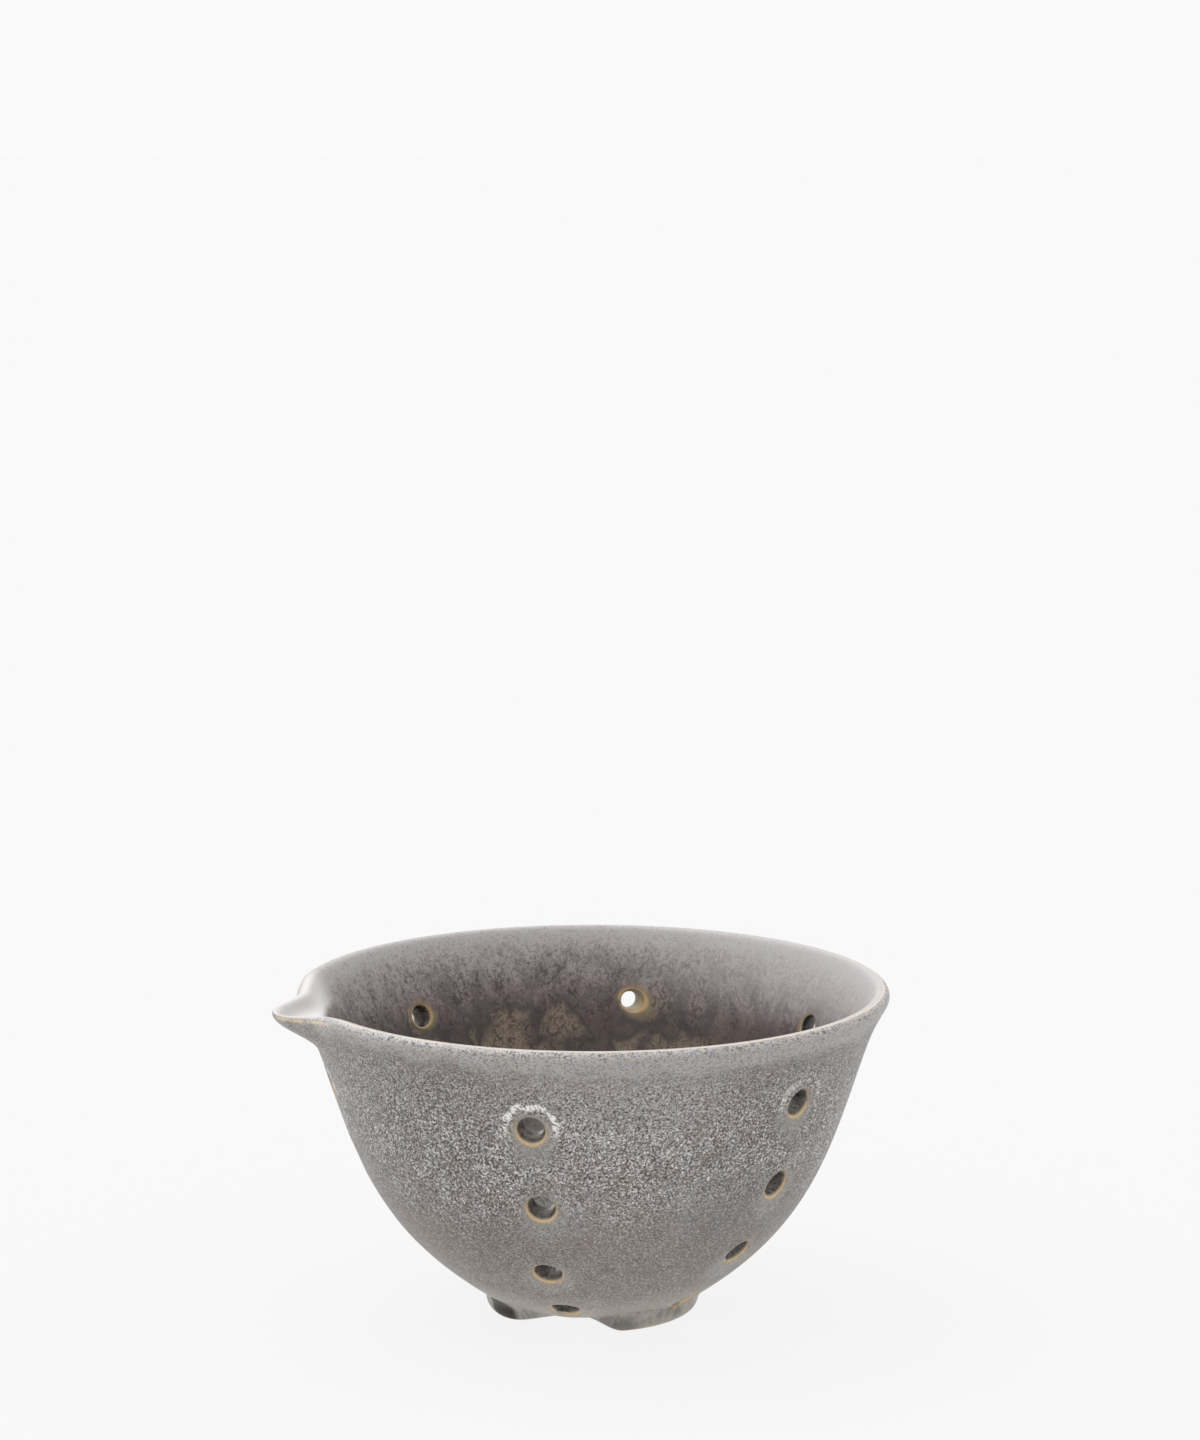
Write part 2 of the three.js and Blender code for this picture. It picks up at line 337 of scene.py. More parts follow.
# Line each hole and the drain: extrude the outer edge through the wall until it meets the inner edge
drain = {"radius": 3.4, "mouth": 0.75}


def drainPoint(column, step):
    reach = drain["radius"]
    if step in (1, lastStep - 1):
        reach += drain["mouth"]
    elif step == lastStep:
        reach = ringRadius[-1]
    angle = columnAngle[column]
    height = baseHeight + bowl["floor"] * holes["liningDepths"][step]
    return np.array([axisX + reach * math.sin(angle), -reach * math.cos(angle), height])


def onOuterEdge(spot):
    atDrain = spot[0] == 0
    return atDrain or (spot in edgeSpots and edgeSpots[spot][2] == 0)


for step in range(1, lastStep + 1):
    index = readValues(mesh, "gridIndex", int)
    if step == 1:
        chosen = np.array([onOuterEdge(gridSpot[i]) for i in index])
    else:
        chosen = np.zeros(len(index), bool)
        chosen[firstNew:] = True
    firstNew = len(index)
    bpy.ops.object.mode_set(mode="EDIT")
    grid = bmesh.from_edit_mesh(mesh)
    for edge in grid.edges:
        edge.select_set(False)
    for edge in grid.edges:
        if edge.is_boundary and all(chosen[vert.index] for vert in edge.verts):
            edge.select_set(True)
    bmesh.update_edit_mesh(mesh)
    bpy.ops.mesh.extrude_edges_move(TRANSFORM_OT_translate={"value": (0, 0, 0)})
    bpy.ops.object.mode_set(mode="OBJECT")
    points = readPoints(mesh) / mm
    index = readValues(mesh, "gridIndex", int)
    for vert in range(firstNew, len(points)):
        spot = gridSpot[index[vert]]
        if spot[0] == 0:
            points[vert] = drainPoint(spot[1], step)
        else:
            number, turn = edgeSpots[spot][:2]
            points[vert] = liningPoint(holeList[number], turn, step)
        mesh.attributes["depth"].data[vert].value = step / lastStep
    writePoints(mesh, points * mm)
bpy.ops.object.mode_set(mode="EDIT")
bpy.ops.mesh.select_all(action="SELECT")
bpy.ops.mesh.remove_doubles(threshold=bowl["weld"] * mm)
bpy.ops.mesh.normals_make_consistent(inside=False)
bpy.ops.object.mode_set(mode="OBJECT")
print("holes lined:", len(mesh.vertices), "points")
soften(glazedBowl)

# Pull the spout out of the rim: a narrow beak reaches out, and a wider dip lowers the lip
spout = {
    "reach": 5.5, "drop": 3.5, "thinning": 2.4,
    "length": 14.3, "troughLength": 8.5,  # how far down it bends the wall, outside and inside
    "troughFrom": 0.5,  # depth in the wall where the bend starts to shorten
    "beakFront": 19.75, "beakBack": 8.45, "dipFront": 27.8, "dipBack": 18.9, "dipPower": 0.85,
}
mesh = glazedBowl.data
points = readPoints(mesh) / mm
depth = readValues(mesh, "depth", float)
fromLip = readValues(mesh, "fromLip", float)
thrown = points.copy()
away = np.degrees(np.arctan2(-points[:, 1], axisX - points[:, 0]))  # towards the front is positive


# 1 in the middle of the spout, 0 from the two given angles on
def spoutHump(front, back):
    spread = np.where(away > 0, front, back)
    return 0.5 + 0.5 * np.cos(np.pi * np.minimum(1, np.abs(away) / spread))


shorter = smoothStep(spout["troughFrom"], 1.0, depth)
bend = spout["length"] + (spout["troughLength"] - spout["length"]) * shorter
pull = smoothStep(rimHeight - bend, lipCentre[1], points[:, 2])
beak = pull * spoutHump(spout["beakFront"], spout["beakBack"])
dip = pull * spoutHump(spout["dipFront"], spout["dipBack"]) ** spout["dipPower"]
thinning = spout["thinning"] * depth * beak
radius = np.hypot(points[:, 0] - axisX, points[:, 1])
stretch = 1 + (spout["reach"] * beak + thinning * lipOut[0]) / radius
points[:, 0] = axisX + (points[:, 0] - axisX) * stretch
points[:, 1] *= stretch
points[:, 2] -= spout["drop"] * dip - thinning * lipOut[1]
writePoints(mesh, points * mm)
print("spout pulled")


# Where each point lies by its nearest hole: gap to the bore, sideways and up, mm
def placeByHoles(points, depth):
    found = np.zeros((len(points), 3))
    found[:, 0] = holes["farGap"]
    for hole in holeList + [None]:
        if hole:
            centre, inner = boreEnds(hole)
            axis = inner - centre
            side = np.array([math.cos(hole["angle"]), math.sin(hole["angle"]), 0])
        else:  # the drain in the floor
            centre = np.array([axisX, 0, baseHeight])
            axis = np.array([0, 0, bowl["floor"]])
            side = np.array([1.0, 0, 0])
        axis = axis / np.linalg.norm(axis)
        up = np.cross(axis, side)
        up = -up if up[2] < 0 else up
        offset = points - centre
        flat = offset - np.outer(offset @ axis, axis)
        bore = holes["radius"] + (holes["innerRadius"] - holes["radius"]) * depth
        gap = np.linalg.norm(flat, axis=1) - bore
        near = (gap < found[:, 0]) & (np.abs(offset @ axis) < holes["window"])
        found[near] = np.stack([gap, flat @ side, flat @ up], -1)[near]
    return found


addPlaces(mesh, "holePlace", "FLOAT_VECTOR", placeByHoles(thrown, depth))
addPlaces(mesh, "wallPlace", "FLOAT_VECTOR", np.stack([depth, fromLip, away], -1))
addPlaces(mesh, "spoutFar", "FLOAT", np.abs(away))
for name in ("gridIndex", "depth", "fromLip"):
    mesh.attributes.remove(mesh.attributes[name])

# Feet: what is left of a ring after three arches, mm; section points are radius and height
feet = {
    "fillet": [(30.2, 6.6), (28.3, 4.9), (27.4, 3.6)],  # runs into the wall between the holes
    "tight": [(27.5, 4.85), (27.25, 4.2), (27.1, 3.3)],  # stays under the lowest holes
    "section": [(27.0, 2.2), (26.6, 0.95), (25.6, 0.12), (24.2, 0.0), (22.4, 0.0), (21.2, 0.1), (20.3, 0.8),
                (19.9, 2.0), (19.7, 3.1), (19.1, 3.8), (18.2, 4.4), (20.5, 5.6), (24.0, 6.0), (27.0, 6.4)],
    "tightWithin": 9.0, "filletFrom": 20.0,  # degrees from a column of holes above the foot
    "arches": [-16.0, 109.5, 218.0],
    "runLeft": [22.0, 13.6, 13.6], "runRight": [12.0, 13.6, 13.6],  # middle of the arch to the table
    "crown": 1.0,
    "buried": 4.6, "buriedSlope": 0.64,  # height in the bowl's clay that the arches rise to, up its slope
    "steps": 44,
    "sameSpot": 0.02,  # a point of the spun outline is known by its radius and height
    "belowWall": 8.0,  # the glaze takes the feet to lie this far below the wall's end
    "names": ["footRight", "footBack", "footLeft"],
    "nodes": ["foot_right", "foot_back", "foot_left"],
}
footPieces = []
for number, name in enumerate(feet["names"]):
    crown = math.degrees(math.asin(feet["crown"] / bowl["baseEdge"]))
    start = feet["arches"][number] + crown
    end = (feet["arches"] + [feet["arches"][0] + 360])[number + 1] - crown
    outline = feet["tight"] + feet["section"]
    clearSelection()
    bpy.ops.mesh.primitive_circle_add(vertices=len(outline), radius=mm)
    foot = bpy.context.object
    foot.name = foot.data.name = name
    angle = math.radians(start)
    writePoints(foot.data, [((axisX + r * math.sin(angle)) * mm, -r * math.cos(angle) * mm, z * mm)
                            for r, z in outline])
    bpy.ops.object.mode_set(mode="EDIT")
    bpy.ops.mesh.select_all(action="SELECT")
    bpy.ops.mesh.edge_face_add()
    bpy.ops.mesh.spin(steps=feet["steps"], angle=math.radians(end - start),
                      center=(axisX * mm, 0, 0), axis=(0, 0, -1))
    bpy.ops.mesh.select_all(action="SELECT")
    bpy.ops.mesh.normals_make_consistent(inside=False)
    bpy.ops.object.mode_set(mode="OBJECT")
    points = readPoints(foot.data) / mm
    radius = np.hypot(points[:, 0] - axisX, points[:, 1])
    angle = np.degrees(np.arctan2(points[:, 0] - axisX, -points[:, 1]))
    overFeet = np.array(holes["columns"][1::2])
    fromHole = np.min(np.abs((angle - overFeet[:, None] + 180) % 360 - 180), axis=0)
    spread = smoothStep(feet["tightWithin"], feet["filletFrom"], fromHole)
    for (tightR, tightZ), (wideR, wideZ) in zip(feet["tight"], feet["fillet"]):
        away = np.hypot(radius - tightR, points[:, 2] - tightZ)
        match = away < feet["sameSpot"]
        radius[match] += (wideR - tightR) * spread[match]
        points[match, 2] += (wideZ - tightZ) * spread[match]
    # rise into the clay towards each arch, which ends well within a quarter turn
    stand = np.ones(len(points))
    for arch, runLeft, runRight in zip(feet["arches"], feet["runLeft"], feet["runRight"]):
        swing = (angle - arch + 180) % 360 - 180
        fromArch = bowl["baseEdge"] * np.sin(np.radians(np.minimum(np.abs(swing), 90)))
        stand *= smoothStep(feet["crown"], np.where(swing < 0, runLeft, runRight), fromArch)
    buried = feet["buried"] + feet["buriedSlope"] * np.maximum(0, radius - bowl["baseEdge"])
    points[:, 2] = buried + (points[:, 2] - buried) * stand
    points[:, 0] = axisX + radius * np.sin(np.radians(angle))
    points[:, 1] = -radius * np.cos(np.radians(angle))
    writePoints(foot.data, points * mm)
    soften(foot)
    points = readPoints(foot.data) / mm
    outerFace = np.zeros(len(points))
    farSide = np.full(len(points), 180.0)
    fromLip = wallLength + feet["belowWall"] - points[:, 2]
    addPlaces(foot.data, "wallPlace", "FLOAT_VECTOR", np.stack([outerFace, fromLip, farSide], -1))
    addPlaces(foot.data, "spoutFar", "FLOAT", farSide)
    addPlaces(foot.data, "holePlace", "FLOAT_VECTOR", placeByHoles(points, outerFace))
    footPieces.append(foot)
print("feet made")


# Finishes
def hexColour(code):
    channels = [int(code[i:i + 2], 16) / 255 for i in (1, 3, 5)]
    return [c / 12.92 if c <= 0.04045 else ((c + 0.055) / 1.055) ** 2.4 for c in channels] + [1.0]


def addNode(tree, kind, settings=None, inputs=None):
    node = tree.nodes.new(kind)
    for key, value in (settings or {}).items():
        setattr(node, key, value)
    for key, value in (inputs or {}).items():
        if isinstance(value, bpy.types.NodeSocket):
            tree.links.new(value, node.inputs[key])
        else:
            node.inputs[key].default_value = value
    return node


# Reduction-fired stoneware glaze, poured and run: semi-matt and stony, with worm-like crystals on the
# outside, dark curls and runs inside, and bare warm clay where it draws back from an edge
# Some layers are wholly or partly painted light and shade: shade on the flanks and deep in the bores, a
# highlight in the bores and on the pooled glaze inside, and paler, lit places low on the outer wall, on the
# inner wall far from the spout, in the spout's trough, in the bores at the back and on the lip's crest.
glaze = {
    "ior": 1.52, "roughness": 0.42, "specular": 0.3,
    "bump": 0.5, "bumpHeight": 0.15,
    "shift": (0.37, 0.11, 0.0),  # metres for each mm of a pattern's size, which sets the patterns apart
    # size across in mm, stretch up the wall, octaves, roughness of the octaves, twist
    "patterns": {
        "clouds": (24.0, 1.0, 2.0, 0.5, 0.0),
        "mottle": (4.5, 1.7, 2.0, 0.5, 0.5),
        "worms": (0.45, 1.0, 1.0, 0.5, 1.2),  # drawn as coarse as they need to be to show
        "grain": (0.8, 1.0, 2.0, 0.6, 0.8),
        "smudges": (5.0, 2.0, 3.0, 0.6, 0.8),
        "lace": (1.0, 1.0, 2.0, 0.6, 1.5),
        "patchy": (8.0, 1.0, 3.0, 0.6, 0.3),
        "clumps": (2.6, 1.0, 2.0, 0.6, 0.8),
        "curls": (4.2, 1.5, 2.0, 0.5, 1.2),
        "fineCurls": (2.2, 1.4, 1.0, 0.5, 1.5),
        "spots": (1.3, 1.5, 2.0, 0.6, 1.5),
        "breaks": (4.0, 1.5, 1.0, 0.5, 0.0),
        "runs": (5.5, 3.5, 2.0, 0.55, 0.6),
        "lobes": (10.0, 1.3, 2.0, 0.55, 0.3),
        "rust": (1.3, 1.0, 1.0, 0.5, 0.0),
        "waver": (7.0, 1.0, 2.0, 0.5, 0.0),
    },
}
material = bpy.data.materials.new("stonewareGlaze")
material.use_nodes = True
tree = material.node_tree
shader = tree.nodes["Principled BSDF"]
shader.inputs["IOR"].default_value = glaze["ior"]
shader.inputs["Roughness"].default_value = glaze["roughness"]
shader.inputs["Specular IOR Level"].default_value = glaze["specular"]
coords = addNode(tree, "ShaderNodeTexCoord")
wallNode = addNode(tree, "ShaderNodeAttribute", {"attribute_name": "wallPlace"})
holeNode = addNode(tree, "ShaderNodeAttribute", {"attribute_name": "holePlace"})
spoutFar = addNode(tree, "ShaderNodeAttribute", {"attribute_name": "spoutFar"}).outputs["Fac"]
wallParts = addNode(tree, "ShaderNodeSeparateXYZ", None, {0: wallNode.outputs["Vector"]})
holeParts = addNode(tree, "ShaderNodeSeparateXYZ", None, {0: holeNode.outputs["Vector"]})
inside, fromLip, fromSpout = (wallParts.outputs[i] for i in range(3))
holeGap, holeSide, holeRise = (holeParts.outputs[i] for i in range(3))

noise = {}
for name, (size, stretched, octaves, rough, twist) in glaze["patterns"].items():
    place = addNode(tree, "ShaderNodeMapping", {"vector_type": "TEXTURE"}, {
        "Vector": coords.outputs["Object"], "Scale": (1, 1, stretched),
        "Location": [size * part for part in glaze["shift"]]})
    noise[name] = addNode(tree, "ShaderNodeTexNoise", None, {
        "Vector": place.outputs[0], "Scale": 1 / (size * mm), "Detail": octaves,
        "Roughness": rough, "Distortion": twist}).outputs["Fac"]

# Distances in mm and pattern values that waver, sag or follow a line
lengths = {}
for name, operation, first, second, third in (
        ("waveredLip", "MULTIPLY_ADD", noise["waver"], 9.0, fromLip),
        ("waveredHole", "MULTIPLY_ADD", noise["waver"], 5.0, holeGap),
        ("sagging", "MULTIPLY", holeRise, 0.42, None),
        ("saggedHole", "ADD", "waveredHole", "sagging", None),
        ("ringGap", "MULTIPLY_ADD", holeRise, 0.08, holeGap),
        ("crustOff", "SUBTRACT", "waveredHole", 5.9, None),
        ("crustFar", "ABSOLUTE", "crustOff", 0.0, None),
        ("curlOff", "SUBTRACT", noise["curls"], 0.5, None),
        ("curlFar", "ABSOLUTE", "curlOff", 0.0, None),
        ("fineCurlOff", "SUBTRACT", noise["fineCurls"], 0.5, None),
        ("fineCurlFar", "ABSOLUTE", "fineCurlOff", 0.0, None),
        ("cloudedLip", "MULTIPLY_ADD", noise["clouds"], 32.0, fromLip),
        ("nearTurn", "MINIMUM", spoutFar, 90.0, None),
        ("rimRun", "MULTIPLY_ADD", "nearTurn", -0.05, fromLip),  # the rim's band narrows towards the spout
        ("bandLip", "MULTIPLY_ADD", noise["waver"], 9.0, "rimRun"),
        ("lobeTurn", "MULTIPLY_ADD", spoutFar, 0.157, 1.73),  # lobes stand some 40 degrees apart
        ("lobeWave", "SINE", "lobeTurn", 0.0, None),
        ("lobeCrest", "MULTIPLY_ADD", "lobeWave", 0.1, noise["lobes"]),
        ("lobeRise", "MULTIPLY_ADD", fromLip, 0.012, -0.36),  # they fill the wall from below
        ("lobeHeight", "ADD", "lobeCrest", "lobeRise", None),
        ("lobeOff", "SUBTRACT", "lobeHeight", 0.46, None),
        ("lobeFar", "ABSOLUTE", "lobeOff", 0.0, None)):
    values = [lengths[v] if isinstance(v, str) else v for v in (first, second, third)]
    lengths[name] = addNode(tree, "ShaderNodeMath", {"operation": operation}, {
        i: v for i, v in enumerate(values) if v is not None}).outputs[0]

# Masks: each goes from 0 at the first limit to 1 at the second
masks = {}
for name, value, low, high in (
        ("inner", inside, 0.45, 0.8),
        ("rimBand", lengths["bandLip"], 9.5, 3.5),
        ("offRim", lengths["rimRun"], 1.5, 10.5),
        ("midBand", fromLip, 14.0, 26.0),
        ("upper", lengths["cloudedLip"], 70.0, 50.0),
        ("patchy", noise["patchy"], 0.35, 0.57),
        ("wormsLight", noise["worms"], 0.55, 0.61),
        ("wormsDark", noise["worms"], 0.455, 0.385),
        ("cool", noise["clouds"], 0.42, 0.62),
        ("warm", noise["mottle"], 0.48, 0.68),
        ("rust", noise["rust"], 0.68, 0.74),
        ("halo", lengths["saggedHole"], 6.6, 3.0),
        ("ring", lengths["ringGap"], 0.85, 0.4),
        ("ringEnd", lengths["ringGap"], 0.0, 0.25),
        ("glow", lengths["ringGap"], 2.6, 0.6),
        ("innerRing", lengths["waveredHole"], 5.0, 2.6),
        ("crustBand", lengths["crustFar"], 0.95, 0.4),
        ("lace", noise["lace"], 0.43, 0.5),
        ("grainLight", noise["grain"], 0.54, 0.66),
        ("grainDark", noise["grain"], 0.46, 0.34),
        ("clumps", noise["clumps"], 0.4, 0.5),
        ("clumpTan", noise["clumps"], 0.54, 0.68),
        ("above", holeRise, -2.5, 1.0),
        ("topRow", fromLip, 34.0, 28.0),
        ("byBore", holeGap, 1.6, 1.2),
        ("boreStart", inside, 0.24, 0.36),
        ("boreEnd", inside, 0.86, 0.74),
        ("boreDeep", inside, 0.45, 0.7),
        ("innerSkin", inside, 0.76, 0.86),
        ("innerEdge", holeGap, 0.9, 0.3),
        ("shade", lengths["waveredLip"], 8.5, 25.0),
        ("underRim", fromLip, 2.5, 10.0),
        ("spotZone", fromLip, 1.0, 17.0),
        ("deep", lengths["waveredLip"], 20.0, 34.0),
        ("runs", noise["runs"], 0.45, 0.6),
        ("curlLine", lengths["curlFar"], 0.05, 0.015),
        ("breaks", noise["breaks"], 0.46, 0.56),
        ("lobes", lengths["lobeHeight"], 0.43, 0.64),
        ("spots", noise["spots"], 0.45, 0.36),
        # paler inner wall far round from the spout, near the top: partly less dark glaze, partly painted
        # light where the light falls
        ("paleAndLitSide", spoutFar, 88.0, 150.0),
        ("paleEnd", fromLip, 26.0, 11.0),
        ("bySpout", spoutFar, 130.0, 115.0),
        ("crestSide", spoutFar, 16.0, 30.0),
        ("lobeRim", lengths["lobeFar"], 0.07, 0.01),
        ("lobesEnd", fromLip, 56.0, 47.0),
        ("lobesSide", spoutFar, 136.0, 120.0),
        # paler low on the inner wall: thicker pooled glaze, partly a painted highlight
        ("poolAndHighlight", lengths["cloudedLip"], 60.0, 80.0),
        ("fineCurlLine", lengths["fineCurlFar"], 0.07, 0.02),
        ("smudges", noise["smudges"], 0.46, 0.6),
        ("lower", fromLip, 46.0, 72.0),
        # painted shade: the outer wall darker on both flanks than at the front
        ("leftFlankShade", spoutFar, 78.0, 55.0),
        ("rightFlankShade", spoutFar, 100.0, 118.0),
        ("topPale", fromLip, 30.0, 16.0),
        # painted light: the outer wall paler just above the feet, a painted reflection of the floor's light
        ("paintedLightBottom", fromLip, wallLength - 14.0, wallLength),
        ("spoutTop", inside, 0.3, 0.45),
        ("boreRight", holeSide, 0.3, 2.2),
        # painted light: the bores of the column at the back get a paler lining, as if lit
        ("paleBoreStart", spoutFar, 96.0, 101.0),
        ("paleBoreEnd", spoutFar, 119.0, 114.0),
        ("lobesLow", lengths["waveredLip"], 22.0, 29.0),
        ("edgeBreaks", noise["breaks"], 0.27, 0.4),
        ("streaked", noise["mottle"], 0.3, 0.5),
        ("crest", inside, 0.57, 0.63),
        ("crestEnd", inside, 0.71, 0.66),
        ("byLip", fromLip, 3.6, 2.4),
        ("spoutEdge", inside, 0.34, 0.22),
        ("spoutEdgeEnd", inside, 0.1, 0.2),
        ("edgeFront", fromSpout, 28.0, 17.0),
        ("edgeBack", fromSpout, -8.0, -4.0),
        ("trough", fromLip, 11.5, 9.0),
        ("troughFront", fromSpout, 21.0, 15.0),
        ("troughBack", fromSpout, -22.0, -13.0),
        ("lipTop", inside, 0.28, 0.5),
        ("lipBand", inside, 0.12, 0.3),
        ("lipTopFront", fromSpout, 95.0, 24.0),
        ("lipTopBack", fromSpout, 8.0, 20.0)):
    masks[name] = addNode(tree, "ShaderNodeMapRange", {"interpolation_type": "SMOOTHSTEP"}, {
        "Value": value, "From Min": low, "From Max": high}).outputs[0]
for name, opposite in (("halo", "offHalo"), ("deep", "offDeep")):
    masks[opposite] = addNode(tree, "ShaderNodeMath", {"operation": "SUBTRACT"}, {
        0: 1.0, 1: masks[name]}).outputs[0]

# Strength of each layer: a product of masks, of strengths further up and of a number
strength = {}
for name, parts in (
        ("field", ("upper", "offRim", "offHalo")),
        ("strongField", ("field", "midBand", "patchy")),
        ("bore", ("byBore", "boreStart", "boreEnd")),
        ("fineLight", ("wormsLight", 0.58)),
        ("fineDark", ("wormsDark", 0.6)),
        ("smudge", ("smudges", "lower", 0.5)),
        ("lower", ("lower", 0.7)),
        ("leftFlankShade", ("leftFlankShade", 0.5)),
        ("rightFlankShade", ("rightFlankShade", 0.44)),
        ("topPale", ("topPale", 0.6)),
        ("paintedLightBottom", ("paintedLightBottom", 0.48)),
        ("spoutTop", ("spoutTop", "troughFront", "troughBack", "byLip", "bySpout", 0.85)),
        # painted highlight on the deep, right side of each bore
        ("boreShine", ("bore", "boreRight", "boreDeep", "bySpout", 0.85)),
        ("wormLight", ("wormsLight", "field", 0.64)),
        ("wormDark", ("wormsDark", "field", 0.82)),
        ("strongLight", ("wormsLight", "strongField", 0.78)),
        ("strongDark", ("wormsDark", "strongField", 0.85)),
        ("halo", ("halo", 0.6)),
        ("rimBand", ("rimBand", 0.85)),
        # pale trough of the spout: thin glaze, partly painted light on its up-facing floor
        ("spoutPale", ("trough", "troughFront", "troughBack", "bySpout", 0.9)),
        ("lipTop", ("lipTop", "lipTopFront", "lipTopBack", "byLip", "bySpout", 0.32)),
        ("lipSpeck", ("lipBand", "grainDark", "byLip", 0.85)),
        ("lipDust", ("lipBand", "wormsDark", "byLip", 0.45)),
        ("tanSmear", ("rimBand", "clumpTan", 0.4)),
        ("rust", ("rust", "rimBand", 0.7)),
        ("crustShape", ("crustBand", "above", "clumps", "topRow", "lace")),
        ("crust", ("crustShape", "bySpout", 0.9)),
        ("crustFaint", ("crustShape", 0.4)),
        ("ring", ("ring", "ringEnd", "edgeBreaks", 0.8)),
        ("glow", ("glow", 0.35)),
        ("spoutEdge", ("spoutEdge", "spoutEdgeEnd", "byLip", "edgeFront", "edgeBack", "bySpout",
                       "streaked", 0.8)),
        # cream line on the lip's crest: thin glaze, partly a painted reflection
        ("crest", ("crest", "crestEnd", "byLip", "crestSide", 0.6)),
        ("innerLight", ("grainLight", "offRim", "offDeep", 0.3)),
        ("innerDark", ("grainDark", 0.4)),
        ("fineCurl", ("fineCurlLine", "clumps", "underRim", 0.45)),
        ("spot", ("spots", "spotZone", 0.75)),
        ("paleAndLitSide", ("paleAndLitSide", "paleEnd", 0.5)),
        ("runs", ("runs", "shade", 0.55)),
        ("curl", ("curlLine", "breaks", "shade", 0.8)),
        ("lobe", ("lobes", "lobesLow", "lobesEnd", "lobesSide", 0.78)),
        ("lobeSpeck", ("lobe", "grainDark", 0.95)),
        ("poolAndHighlight", ("poolAndHighlight", 0.5)),
        ("drip", ("lobeRim", "lobesLow", "lobesSide", 0.7)),
        ("innerRing", ("innerRing", "innerSkin", 0.65)),
        ("innerEdge", ("innerEdge", "innerSkin", "edgeBreaks", 0.85)),
        # painted shade deep in the bores
        ("boreDeep", ("bore", "boreDeep")),
        ("boreSpeck", ("bore", "grainDark", 0.95)),
        # painted light in the bores of the column at the back
        ("paleBore", ("bore", "paleBoreStart", "paleBoreEnd", 0.8)),
        ("boreLight", ("bore", "grainLight", 0.35))):
    factors = [strength.get(part, masks.get(part)) if isinstance(part, str) else part for part in parts]
    product = factors[0]
    for factor in factors[1:]:
        product = addNode(tree, "ShaderNodeMath", {"operation": "MULTIPLY"}, {
            0: product, 1: factor}).outputs[0]
    strength[name] = product

# Layers of colour from the ground up; the bores look the same from both faces
boreLayers = (
    ("#5c5854", strength["bore"]),
    # painted shade deep in the bores
    ("#2e2a27", strength["boreDeep"]),
    # painted highlight in the bores
    ("#e6e4e1", strength["boreShine"]),
    ("#1f1d1b", strength["boreSpeck"]),
    ("#8d8985", strength["boreLight"]),
    # painted light in the bores of the column at the back
    ("#a89a7e", strength["paleBore"]),
)
outerLayers = (
    ("#867d79", None),
    ("#888583", masks["cool"]),
    ("#80756f", masks["warm"]),
    ("#9b9693", strength["topPale"]),
    # painted shade on both flanks
    ("#5a534f", strength["leftFlankShade"]),
    ("#5a534f", strength["rightFlankShade"]),
    ("#7e7267", strength["lower"]),
    ("#675f56", strength["smudge"]),
    ("#959492", strength["halo"]),
    ("#aaa9a8", strength["rimBand"]),
    ("#bdb9b6", strength["fineLight"]),
    ("#4f4946", strength["fineDark"]),
    ("#cecbc8", strength["wormLight"]),
    ("#403a34", strength["wormDark"]),
    ("#e6e4e2", strength["strongLight"]),
    ("#3c3734", strength["strongDark"]),
    # painted light low on the wall, above the feet
    ("#b4aba3", strength["paintedLightBottom"]),
    ("#b5a78d", strength["tanSmear"]),
    ("#9a6c3c", strength["rust"]),
    ("#f0efed", strength["crustFaint"]),
    ("#f0efed", strength["crust"]),
    ("#a1947d", strength["glow"]),
    ("#c9cacd", strength["lipTop"]),
    ("#4c4846", strength["lipSpeck"]),
    ("#4c4846", strength["lipDust"]),
    ("#adaaa9", strength["spoutTop"]),
    # crest line: thin glaze, partly a painted reflection
    ("#d8c3a6", strength["crest"]),
    ("#d8b98d", strength["ring"]),
    ("#cdb48d", strength["spoutEdge"]),
) + boreLayers
innerLayers = (
    ("#a39e9e", None),
    ("#7d7271", masks["shade"]),
    ("#564b46", masks["deep"]),
    ("#b3adab", strength["innerLight"]),
    ("#5d5350", strength["innerDark"]),
    ("#4b423f", strength["runs"]),
    ("#897b68", strength["lobe"]),
    # pooled glaze, partly a painted highlight
    ("#9c9a98", strength["poolAndHighlight"]),
    ("#4a403e", strength["fineCurl"]),
    ("#453b38", strength["spot"]),
    ("#40362f", strength["lobeSpeck"]),
    ("#413b3c", strength["drip"]),
    ("#403735", strength["curl"]),
    # less dark glaze, partly painted light, on the far inner side
    ("#aca7a8", strength["paleAndLitSide"]),
    ("#8f7f5f", strength["innerRing"]),
    ("#b09462", strength["innerEdge"]),
    # spout's trough: thin glaze, partly painted light
    ("#c8c5c4", strength["spoutPale"]),
    # crest line: thin glaze, partly a painted reflection
    ("#d8c3a6", strength["crest"]),
) + boreLayers
colours = []
for layers in (outerLayers, innerLayers):
    colour = hexColour(layers[0][0])
    for code, mask in layers[1:]:
        colour = addNode(tree, "ShaderNodeMix", {"data_type": "RGBA"}, {
            0: mask, 6: colour, 7: hexColour(code)}).outputs[2]
    colours.append(colour)
skin = addNode(tree, "ShaderNodeMix", {"data_type": "RGBA"}, {
    0: masks["inner"], 6: colours[0], 7: colours[1]})
tree.links.new(skin.outputs[2], shader.inputs["Base Color"])
raised = addNode(tree, "ShaderNodeMath", {"operation": "MULTIPLY"}, {
    0: noise["worms"], 1: strength["field"]})
bump = addNode(tree, "ShaderNodeBump", None, {
    "Height": raised.outputs[0], "Strength": glaze["bump"], "Distance": glaze["bumpHeight"] * mm})
tree.links.new(bump.outputs[0], shader.inputs["Normal"])

